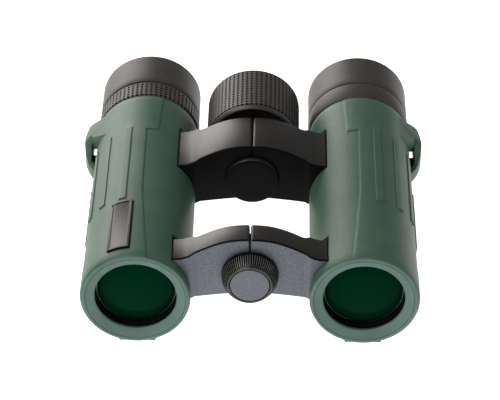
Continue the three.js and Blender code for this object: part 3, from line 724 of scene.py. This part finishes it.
# A paler copy of the armour rubber, painted light on the front rim.
rubber_rim_painted_light = green_rubber("green_rubber_rim", (0.070, 0.132, 0.108), (0.096, 0.166, 0.140))
pad_front, pad_back = rim_y + 1.6 * mm, rim_y + 84.3 * mm
pad_half = 6 * mm
pad_height = 4 * mm
badge_span = (6.0, 29.0, 4.5, 29.5)

for side in ("left", "right"):
    sleeve = armour()
    sleeve.name = side + "_armour_sleeve"
    round_edges(sleeve, 0.12, 2, 40)
    join_with(sleeve, lug(), "UNION")
    join_with(sleeve, lug_slot(), "DIFFERENCE")
    join_with(sleeve, lug_tunnel(), "DIFFERENCE")
    pad = block("pad", Vector((barrel.x - pad_half, pad_front, pad_z)),
                Vector((barrel.x + pad_half, pad_back, pad_z + pad_height)), 0.45)
    join_with(sleeve, pad, "UNION")
    outline = [(0, sleeve_lip), (sleeve_bore, sleeve_lip), (sleeve_bore, 100), (0, 100)]
    join_with(sleeve, turned("bore", outline, barrel, 96), "DIFFERENCE")
    for start, end in (front_bridge, rear_bridge):
        window = along_y("window", fan(barrel, 30, window_angles), start - 1.4, end + 3.7)
        join_with(sleeve, window, "DIFFERENCE")
    if side == "right":
        low, high, front, back = badge_span
        pocket = curved_plate("pocket", barrel, 17.2, 2, low - 1.5, high + 0.6, front - 0.35,
                              back + 0.25)
        join_with(sleeve, pocket, "DIFFERENCE")
        mirror_over(sleeve)
    smooth(sleeve, 28)
    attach(sleeve, side + "_half")
    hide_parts(side + "_armour")

# --------------------------------------------------
# Badge: a thin stamped plate glued into a pocket in the right armour, left blank. A rolled
# border stands round a field of fine brushed lines, and one rear corner is clipped.


def stamped_metal():
    """Grey-brown anodised sheet with faint lines along the barrel and a dull sheen."""
    material, shader = surface("stamped_metal", (0.06, 0.054, 0.05), 0.46, 0.1, 0.3)
    nodes, links = tools(shader)
    lines = nodes.new("ShaderNodeTexNoise")
    lines.inputs["Scale"].default_value = 1 / (0.3 * mm)
    lines.inputs["Detail"].default_value = 4
    stretch = nodes.new("ShaderNodeMapping")
    stretch.inputs["Scale"].default_value = (1, 0.12, 1)
    links.new(object_point(nodes), stretch.inputs["Vector"])
    links.new(stretch.outputs["Vector"], lines.inputs["Vector"])
    tint(shader, lines.outputs["Fac"], (0.038, 0.034, 0.032), (0.062, 0.056, 0.052))
    roughen(shader, lines.outputs["Fac"], 0.42, 0.55)
    emboss(shader, lines.outputs["Fac"], 0.3, 0.02)
    return material


def badge_plate():
    """A plate with a sunk field inside its border, and a corner cut off by one slanted cut."""
    low, high, front, back = badge_span
    plate = curved_plate("right_badge_plate", barrel, 17.25, 1.35, low, high, front, back)
    field = curved_plate("field", barrel, 18.35, 1, low + 2.6, high - 2.6, front + 0.9,
                         back - 0.9)
    join_with(plate, field, "DIFFERENCE")
    corner = polar(barrel, 18.2, high - 6.5, back)
    select_only(plate)
    bpy.ops.object.mode_set(mode="EDIT")
    select_mesh()
    bpy.ops.mesh.bisect(plane_co=corner, plane_no=(0.8, 0.6, -0.3), use_fill=True,
                        clear_outer=True)
    bpy.ops.object.mode_set(mode="OBJECT")
    round_edges(plate, 0.1, 2, 40)
    mirror_over(plate)
    smooth(plate, 30)
    return plate


badge = badge_plate()
badge.data.materials.clear()
coat(badge, stamped_metal(), shade_black_paint)
# Painted shade: the plate's side walls and the walls of its field take the near-black shade
# paint, which draws dark lines along its edges.
for face in badge.data.polygons:
    out = Vector((face.center.x + barrel.x, 0, face.center.z - barrel.z))
    face.material_index = 1 if face.normal.dot(out.normalized()) < 0.5 else 0
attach(badge, "right_half")
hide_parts("right_badge")

# --------------------------------------------------
# Objectives: a coated achromat with a ground edge, held in its black cell by a threaded
# retaining ring. The coating throws back deep green.


def coated_glass(name, colour, deep, reflection):
    """Dark glass under a coating that throws back one colour, with faint clouds in it."""
    material, shader = surface(name, colour, 0.06, 0, 0.025)
    shader.inputs["Specular Tint"].default_value = (*reflection, 1)
    tint(shader, speckle(shader, 30, 1), deep, colour, 0.3, 0.7)
    return material


def matt_black_plastic():
    """Black glass-filled plastic with a faint moulded texture."""
    material, shader = surface("matt_black", (0.006, 0.006, 0.006), 0.5, 0, 0.3)
    grain = speckle(shader, 0.3, 3)
    tint(shader, speckle(shader, 2, 4),
         (0.004, 0.004, 0.004), (0.009, 0.009, 0.009))
    roughen(shader, grain, 0.42, 0.6)
    emboss(shader, grain, 0.3, 0.02)
    return material


def ground_edge():
    """The fine-ground rim of a lens, which scatters light and shows as a thin pale line."""
    material, shader = surface("ground_edge", (0.35, 0.5, 0.42), 0.35)
    roughen(shader, speckle(shader, 0.1, 2), 0.3, 0.45)
    return material


def lens_outline(radius, start, end, front_bulge, rear_bulge):
    """Half the section of a lens, with curved faces and a small chamfer round each."""
    chamfer = 0.25
    face = radius - chamfer
    steps = 10
    shares = [i / steps for i in range(steps + 1)]
    front = [(face * s, start - front_bulge * (1 - s * s)) for s in shares]
    back = [(face * s, end + rear_bulge * (1 - s * s)) for s in reversed(shares)]
    return front + [(radius, start + chamfer), (radius, end - chamfer)] + back


black_plastic = matt_black_plastic()
lens_rim = ground_edge()
objective_glass = coated_glass("green_coated_glass", (0.0, 0.020, 0.009),
                               (0.0, 0.016, 0.007), (0.02, 1, 0.5))
blackened = sprayed_black("blackened", (0.0025, 0.0025, 0.0025), 0.03, 0.6)


def mark_ground_edge(lens, face_radius, centre):
    """The chamfers and the rim of a lens take the ground finish."""
    for face in lens.data.polygons:
        face.material_index = 1 if away(face.center, centre) > face_radius else 0


barrels = {"left": barrel, "right": Vector((-barrel.x, barrel.y, barrel.z))}

for side, centre in barrels.items():
    lens = turned(side + "_objective_glass", lens_outline(12.9, 5.4, 8.3, 1.3, 0.7), centre)
    coat(lens, objective_glass, lens_rim)
    mark_ground_edge(lens, 12.66, centre)
    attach(lens, side + "_half")
    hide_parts(side + "_objective_lens")

    outline = [(13.0, 5.0), (13.0, 4.2), (13.15, 3.75), (13.3, 3.6), (13.9, 3.6), (13.9, 5.0)]
    retainer = turned(side + "_retaining_ring", outline, centre, 128, 0.06)
    coat(retainer, blackened)
    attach(retainer, side + "_half")
    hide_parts(side + "_objective_retainer")

    outline = [(13.2, 5.3), (13.9, 5.3), (13.9, 19), (12, 19), (12, 8.6), (13.2, 8.6)]
    cell = turned(side + "_objective_seat", outline, centre, 96, 0.1)
    coat(cell, blackened)
    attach(cell, side + "_half")
    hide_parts(side + "_objective_cell")

# --------------------------------------------------
# Eyepieces: a black tube screwed into each housing carries the ocular cell with its field lens
# and eye lens. The right cell moves in its tube when the diopter ring turns.

tube_end = 110.6
ocular_end = 109.1
eye_glass = coated_glass("violet_coated_glass", (0.012, 0.010, 0.022),
                         (0.004, 0.005, 0.012), (0.55, 0.5, 1))
ocular_bodies = {"left": "left_half", "right": "right_ocular"}

for side, centre in barrels.items():
    outline = [(12.2, 80.3), (13.9, 80.3), (13.9, 89.9), (13.5, 89.9), (13.5, tube_end),
               (12.2, tube_end)]
    tube = turned(side + "_ocular_tube", outline, centre, 96, 0.15)
    coat(tube, black_plastic)
    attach(tube, side + "_half")
    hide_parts(side + "_eyepiece_tube")

    outline = [(9.9, 82.3), (11.9, 82.3), (11.9, ocular_end), (10.5, ocular_end),
               (10.3, ocular_end - 0.25), (10.3, ocular_end - 1), (10.9, ocular_end - 1),
               (10.9, 83.3), (9.9, 83.3)]
    cell = turned(side + "_ocular_seat", outline, centre, 96, 0.1)
    coat(cell, black_plastic)
    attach(cell, ocular_bodies[side])
    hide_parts(side + "_ocular_cell")

    outline = lens_outline(10.6, ocular_end - 4.4, ocular_end - 1.4, 0.8, 0.7)
    lens = turned(side + "_eye_glass", outline, centre)
    coat(lens, eye_glass, lens_rim)
    mark_ground_edge(lens, 10.37, centre)
    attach(lens, ocular_bodies[side])
    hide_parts(side + "_eye_lens")

# --------------------------------------------------
# Collar and diopter ring: rubber-covered rings behind the armour. The left one is plain and
# fixed, and the right one is knurled and turns to set the ocular for that eye.

ring_span = (armour_end + 0.3, armour_end + 9.0)


def dark_rubber(name, dark, light, specular=0.28):
    """Warm black rubber with a soft dusty bloom."""
    material, shader = surface(name, light, 0.5, 0, specular)
    tint(shader, speckle(shader, 6, 4), dark, light, 0.3, 0.7)
    grain = speckle(shader, 0.25, 3)
    roughen(shader, grain, 0.42, 0.56)
    emboss(shader, grain, 0.3, 0.02)
    return material


pit_depth = 0.9
bar_depth = 0.15


def column(point, centre, teeth):
    """The place of a point, 0 to 3, in its tooth of a ring spun in four steps a tooth."""
    angle = math.degrees(math.atan2(point.x - centre.x, point.z - centre.z))
    return round(angle / (360 / (4 * teeth))) % 4


def knurl(piece, centre, teeth, crest, stations):
    """Cuts a ladder of pits between the axial ridges of a ring. Every fourth column sinks, to
    the full depth in every fourth row and to bar_depth between. The pits take the piece's
    second material and the cross bars its third, darker colours that are painted shade; the
    ridges keep its first, a paler colour that is a painted highlight on the crests."""
    pitch = stations[1] - stations[0]

    def sinks(v):
        knurled = stations[0] - 0.01 < station(v.co) < stations[-1] + 0.01
        outside = away(v.co, centre) > crest - 0.15
        return knurled and outside and column(v.co, centre, teeth) == 3

    select_only(piece)
    bpy.ops.object.mode_set(mode="EDIT")
    mesh = bmesh.from_edit_mesh(piece.data)
    sunk = {v for v in mesh.verts if sinks(v)}
    pits = {v for v in sunk if round((station(v.co) - stations[0]) / pitch) % 4 == 0}
    for face in mesh.faces:
        corners = set(face.verts)
        face.material_index = 1 if corners & pits else 2 if corners & sunk else 0
    for v in sunk:
        out = Vector((v.co.x - centre.x, 0, v.co.z - centre.z)).normalized()
        v.co -= out * (pit_depth if v in pits else bar_depth) * mm
    bmesh.update_edit_mesh(piece.data)
    bpy.ops.object.mode_set(mode="OBJECT")


def rows(start, end, pitch):
    """Stations a pitch apart."""
    count = int((end - start) / pitch)
    return [start + i * pitch for i in range(count + 1)]


black_rubber = dark_rubber("dark_rubber", (0.032, 0.029, 0.0265), (0.044, 0.040, 0.0365))
# Knurl colours: a paler rubber as painted highlight on the crests, a darker one as painted shade
# on the cross bars, and a near-black one as painted shade in the pits.
crest_painted_highlight_rubber = dark_rubber("crest_painted_highlight_rubber", (0.042, 0.038, 0.035), (0.060, 0.055, 0.050))
bar_painted_shade_rubber = dark_rubber("bar_painted_shade_rubber", (0.034, 0.031, 0.028), (0.048, 0.044, 0.040))
pit_painted_shade_rubber = dark_rubber("pit_painted_shade_rubber", (0.001, 0.001, 0.001), (0.002, 0.002, 0.002), 0.03)
start, end = ring_span
outline = [(13.85, start), (16.7, start), (17.25, start + 0.15), (17.55, start + 0.6),
           (17.6, end - 1.0), (17.55, end - 0.35), (17.2, end), (13.85, end)]
collar = turned("left_collar_ring", outline, barrels["left"], 144, 0.08)
coat(collar, black_rubber)
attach(collar, "left_half")
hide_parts("left_collar")

ring_teeth = 66
ring_crest = 17.62
ring_rows = rows(start + 0.95, end - 0.8, 0.37)
outline = [(13.85, start), (16.8, start), (17.2, start + 0.2), (17.3, start + 0.55)]
outline += [(ring_crest, y) for y in ring_rows]
outline += [(17.3, end - 0.4), (16.9, end), (13.85, end)]
dial = turned("right_diopter_dial", outline, barrels["right"], 4 * ring_teeth)
coat(dial, crest_painted_highlight_rubber, pit_painted_shade_rubber, bar_painted_shade_rubber)
knurl(dial, barrels["right"], ring_teeth, ring_crest, ring_rows)
smooth(dial, 25)
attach(dial, "diopter_ring")
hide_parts("right_diopter_ring")

# --------------------------------------------------
# Eyecups: a straight sleeve keyed to the tube, a core that turns on it in a helical slot, and
# a smooth rubber skin pulled over the core with a soft rolled edge.

cup_start = armour_end + 9.3
cup_end = armour_end + 26.0
skin_radius = 17.5
roll = 1.5
roll_angles = [math.radians(a) for a in range(0, 91, 10)]

for side, centre in barrels.items():
    outline = [(13.8, cup_start + 0.2), (14.6, cup_start + 0.2), (14.6, cup_end - 3.5),
               (13.8, cup_end - 3.5)]
    sleeve = turned(side + "_eyecup_slide", outline, centre, 96, 0.12)
    coat(sleeve, black_plastic)
    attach(sleeve, side + "_eyecup_sleeve")
    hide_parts(side + "_eyecup_sleeve")

    outline = [(14.9, cup_start), (15.7, cup_start), (15.7, cup_end - 3.2), (14.9, cup_end - 3.2)]
    core = turned(side + "_eyecup_barrel", outline, centre, 96, 0.12)
    coat(core, black_plastic)
    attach(core, side + "_eyecup")
    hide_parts(side + "_eyecup_core")

    outline = [(16.0, cup_start), (17.0, cup_start), (17.35, cup_start + 0.12),
               (skin_radius, cup_start + 0.4), (skin_radius + 0.02, cup_start + 3)]
    outline += [(skin_radius - roll + roll * math.cos(a), cup_end - roll + roll * math.sin(a))
                for a in roll_angles]
    outline += [(14.3, cup_end - 0.1), (13.4, cup_end - 0.45), (12.85, cup_end - 1.1),
                (12.7, cup_end - 1.8), (12.9, cup_end - 2.9), (16.0, cup_end - 2.9)]
    skin = turned(side + "_eyecup_skin", outline, centre, 160)
    coat(skin, black_rubber)
    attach(skin, side + "_eyecup")
    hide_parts(side + "_eyecup_rubber")

# --------------------------------------------------
# Focus wheel: a turned alloy core with a bevelled front rim, a knurled rubber tyre pressed over
# it, a thin end cap, and the coarse screw that works the focusing lenses.

wheel_start = armour_end - 14.1
wheel_end = wheel_start + 23


def dark_anodised(name, dark, light):
    """Warm grey-black anodised alloy with faint turning marks."""
    material, shader = surface(name, light, 0.4, 0.4)
    grain = speckle(shader, 0.3, 3)
    tint(shader, speckle(shader, 3, 4), dark, light)
    roughen(shader, grain, 0.34, 0.5)
    emboss(shader, grain, 0.2, 0.02)
    return material


anodised = dark_anodised("dark_anodised", (0.043, 0.039, 0.036), (0.056, 0.051, 0.047))
outline = [(4.75, wheel_start + 1.5), (13.9, wheel_start + 1.5), (14.5, wheel_start + 0.55),
           (14.7, wheel_start + 0.3), (15.0, wheel_start + 0.3), (15.55, wheel_start + 0.75),
           (15.85, wheel_start + 1.25), (15.8, wheel_start + 1.7), (14.0, wheel_start + 1.75),
           (14.0, wheel_end - 0.6), (13.2, wheel_end), (12.3, wheel_end),
           (12.3, wheel_end - 1.5), (2.7, wheel_end - 1.5), (2.7, wheel_start + 8.6),
           (4.75, wheel_start + 8.6)]
wheel = turned("focus_wheel_hub", outline, hinge, 160, 0.08)
coat(wheel, anodised, black_plastic)
# Painted shade: the faces inside the front rim take black plastic so that they read as shadow.
for face in wheel.data.polygons:
    recess = away(face.center, hinge) < 14.6 and station(face.center) < wheel_start + 1.6
    face.material_index = 1 if recess else 0
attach(wheel, "focus_wheel")
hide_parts("focus_wheel_core")

wheel_teeth = 61
wheel_crest = 16.0
start, end = wheel_start + 1.9, wheel_end - 0.1
wheel_rows = rows(start + 0.3, end - 0.7, 0.38)
outline = [(14.3, start), (15.3, start)]
outline += [(wheel_crest, y) for y in wheel_rows]
outline += [(15.9, end - 0.35), (15.6, end - 0.1), (15.0, end), (14.3, end)]
tyre = turned("focus_wheel_tyre", outline, hinge, 4 * wheel_teeth)
coat(tyre, crest_painted_highlight_rubber, pit_painted_shade_rubber, bar_painted_shade_rubber)
knurl(tyre, hinge, wheel_teeth, wheel_crest, wheel_rows)
smooth(tyre, 25)
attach(tyre, "focus_wheel")
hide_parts("focus_wheel_grip")

outline = [(0, wheel_end - 1.2), (12.0, wheel_end - 1.2), (12.0, wheel_end - 0.5),
           (11.6, wheel_end - 0.15), (10.6, wheel_end - 0.1), (10.4, wheel_end - 0.3),
           (0, wheel_end - 0.25)]
cap = turned("focus_wheel_end", outline, hinge, 144, 0.05)
coat(cap, anodised)
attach(cap, "focus_wheel")
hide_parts("focus_wheel_cap")

# --------------------------------------------------
# Hinge covers and washer: pressed-in discs that hide the hinge pins, painted like the castings,
# and the slip washer between the rear bridge and the wheel.

start, end = rear_bridge
outline = [(0, start - 1.6), (6.5, start - 1.65), (8.6, start - 1.6), (8.85, start - 1.5),
           (9.0, start - 1.3), (9.05, start - 0.95), (9.05, start - 0.3), (0, start - 0.3)]
cover = turned("rear_cover_disc", outline, hinge, 144)
coat(cover, shade_black_paint, black_paint)
# Painted highlight and painted shade: the upward-facing part of the rim bevel takes the paler
# satin paint to show a bright arc, and the rest of the disc the near-black shade paint.
for face in cover.data.polygons:
    bevel = away(face.center, hinge) > 8.65 and face.normal.z > 0.35
    face.material_index = 1 if bevel else 0
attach(cover, "left_half")
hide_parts("rear_hinge_cover")

outline = [(4.75, end + 0.3), (8.4, end + 0.3), (8.6, end + 0.5), (8.6, wheel_start - 0.3),
           (4.75, wheel_start - 0.3)]
washer = turned("rear_slip_washer", outline, hinge, 96, 0.1)
coat(washer, black_plastic)
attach(washer, "left_half")
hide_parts("rear_hinge_washer")

start, end = front_bridge
outline = [(0, end + 0.7), (8.5, end + 0.7), (8.6, end + 1.3), (7.9, end + 1.85), (0, end + 2)]
cover = turned("front_cover_disc", outline, hinge, 96, 0.12)
coat(cover, black_paint)
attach(cover, "left_half")
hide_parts("front_hinge_cover")

# --------------------------------------------------
# Socket cap: a knurled alloy knob whose stud screws into the tripod socket. Its flat face holds
# a disc in the same blue-grey paint as the bridge, with a dark groove round it.

cap_back = front_bridge[0] - 1.4
cap_front = cap_back - 5.0
cap_teeth = 74
cap_rows = 9
flute_depth = 0.38


def cap_radius(y):
    """The knob bulges: steep near its back and leaning in towards the face."""
    t = (y - cap_front - 0.55) / (cap_back - 0.45 - cap_front - 0.55)
    return 7.45 + 1.7 * math.sin(min(1, max(0, t)) * math.pi / 2) ** 0.9


def flute(knob):
    """Cuts a groove of one depth between every two ridges of the knob. Ridges take its first
    material, a paler anodised colour that is a painted highlight on the crests; grooves and
    the back take its second, near-black, which in the grooves is painted shade; and the rim of
    the face takes its third."""
    vertices = knob.data.vertices
    first, last = knob_stations[0], knob_stations[-1]
    for v in vertices:
        if first - 0.01 < station(v.co) < last + 0.01 and column(v.co, hinge, cap_teeth) > 1:
            out = Vector((v.co.x - hinge.x, 0, v.co.z - hinge.z))
            v.co -= out.normalized() * flute_depth * mm
    for face in knob.data.polygons:
        columns = {column(vertices[i].co, hinge, cap_teeth) for i in face.vertices}
        fluted = first < station(face.center) < last
        behind = station(face.center) > last
        if behind or (fluted and columns != {0, 1}):
            face.material_index = 1
        else:
            face.material_index = 0 if fluted else 2


# A paler anodised colour for the ridge crests, a painted highlight.
knob_crest_highlight = dark_anodised("knob_anodised_painted_highlight", (0.11, 0.105, 0.10), (0.17, 0.165, 0.155))
knob_stations = [cap_front + 0.55 + i * (cap_back - 1.0 - cap_front) / (cap_rows - 1)
                 for i in range(cap_rows)]
outline = [(0, cap_front + 0.9), (6.55, cap_front + 0.9), (6.6, cap_front + 0.15),
           (6.75, cap_front), (7.15, cap_front + 0.05), (7.3, cap_front + 0.3)]
outline += [(cap_radius(y), y) for y in knob_stations]
outline += [(9.2, cap_back - 0.1), (9.2, cap_back + 0.8), (8.9, cap_back + 1.05),
            (7.2, cap_back + 1.05), (7.1, cap_back), (2.9, cap_back), (2.9, cap_back + 6.7),
            (2.6, cap_back + 7), (0, cap_back + 7)]
knob = turned("socket_cap_knob", outline, hinge, 4 * cap_teeth)
coat(knob, knob_crest_highlight, blackened, anodised)
flute(knob)
smooth(knob, 28)
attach(knob, "socket_cap")
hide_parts("socket_cap")

outline = [(0, cap_front), (6.15, cap_front + 0.02), (6.3, cap_front + 0.15),
           (6.3, cap_front + 0.6), (0, cap_front + 0.6)]
disc_piece = turned("socket_cap_face", outline, hinge, 128)
coat(disc_piece, grey_paint)
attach(disc_piece, "socket_cap")
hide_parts("socket_cap_disc")

outline = [(5.2, cap_back + 0.2), (6.8, cap_back + 0.2), (6.8, cap_back + 1), (5.2, cap_back + 1)]
seal = turned("socket_cap_gasket", outline, hinge, 96, 0.25)
coat(seal, black_rubber)
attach(seal, "cap_seal")
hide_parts("socket_cap_seal")

# --------------------------------------------------
# Inner pieces that keep their solids: brass and steel turned parts of the focus drive and the
# hinge, the moulded prism cages, and the clear glass of the prisms and the focusing lenses.


def turned_metal(name, dark, light, roughness):
    """Bare turned metal with fine tool marks."""
    material, shader = surface(name, light, roughness, 1.0)
    marks = speckle(shader, 0.2, 4)
    tint(shader, speckle(shader, 2.5, 4), dark, light, 0.3, 0.7)
    roughen(shader, marks, roughness - 0.07, roughness + 0.1)
    emboss(shader, marks, 0.15, 0.01)
    return material


def clear_glass():
    """Polished crown glass with a faint tint."""
    material, shader = surface("clear_glass", (0.86, 0.94, 0.95), 0.02)
    shader.inputs["Transmission Weight"].default_value = 0.85
    tint(shader, speckle(shader, 20, 2),
         (0.82, 0.92, 0.93), (0.9, 0.96, 0.97))
    return material


def both(*parts):
    return tuple(side + "_" + part for part in parts for side in ("left", "right"))


inner_finishes = {
    turned_metal("turned_brass", (0.50, 0.36, 0.15), (0.62, 0.46, 0.22), 0.3): (
        "focus_nut", "tripod_socket", *both("focus_cell")),
    turned_metal("turned_steel", (0.42, 0.42, 0.42), (0.56, 0.56, 0.57), 0.28): (
        "focus_screw", "rear_hinge_pin", "rear_hinge_sleeve", *both("focus_arm")),
    black_plastic: both("prism_holder"),
    clear_glass(): both("base_prism", "roof_prism", "field_lens", "focus_lens"),
}
for finish, names in inner_finishes.items():
    for name in names:
        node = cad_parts[name]
        node.data.materials.clear()
        coat(node, finish)

# --------------------------------------------------
# Table and light: a matt white table top, far enough down for a folded barrel to clear it, a
# large soft light behind on the left, a second high on the left, a weak one on the right, and
# a pale room.

table_drop = 30 * mm
table_glow = 0.92
room_light = 0.25
bpy.ops.object.select_all(action="DESELECT")
bpy.ops.mesh.primitive_plane_add(size=6, location=(0, 0, pad_z - table_drop))
table = bpy.context.object
table.name = "table_top"
white, shader = surface("table_white", (0.85, 0.85, 0.85), 0.8, 0, 0.1)
shader.inputs["Emission Color"].default_value = (1, 1, 1, 1)
shader.inputs["Emission Strength"].default_value = table_glow
table.data.materials.append(white)


def soft_light(name, place, size, power, colour=(1, 1, 1)):
    """A large lamp that is aimed at the glasses and doesn't show itself."""
    lamp = bpy.data.lights.new(name, "AREA")
    lamp.shape = "RECTANGLE"
    lamp.size, lamp.size_y = size
    lamp.energy = power
    lamp.color = colour
    lamp_object = bpy.data.objects.new(name, lamp)
    lamp_object.location = place
    aim = Vector((0, 0, 0.02)) - Vector(place)
    lamp_object.rotation_euler = aim.to_track_quat("-Z", "Y").to_euler()
    lamp_object.visible_camera = False
    bpy.context.scene.collection.objects.link(lamp_object)


soft_light("behind_left", (-0.40, 0.62, 0.27), (0.52, 0.5), 4.9, (1, 0.955, 0.92))
soft_light("above_left", (-0.42, -0.32, 0.75), (0.5, 0.5), 5.2)
soft_light("right", (0.8, 0.1, 0.3), (0.3, 0.5), 0.8)

world = bpy.data.worlds.new("room")
world.use_nodes = True
world.node_tree.nodes["Background"].inputs["Color"].default_value = (1, 1, 1, 1)
world.node_tree.nodes["Background"].inputs["Strength"].default_value = room_light
bpy.context.scene.world = world
bpy.context.scene.view_settings.view_transform = "Standard"
bpy.context.scene.view_settings.look = "None"
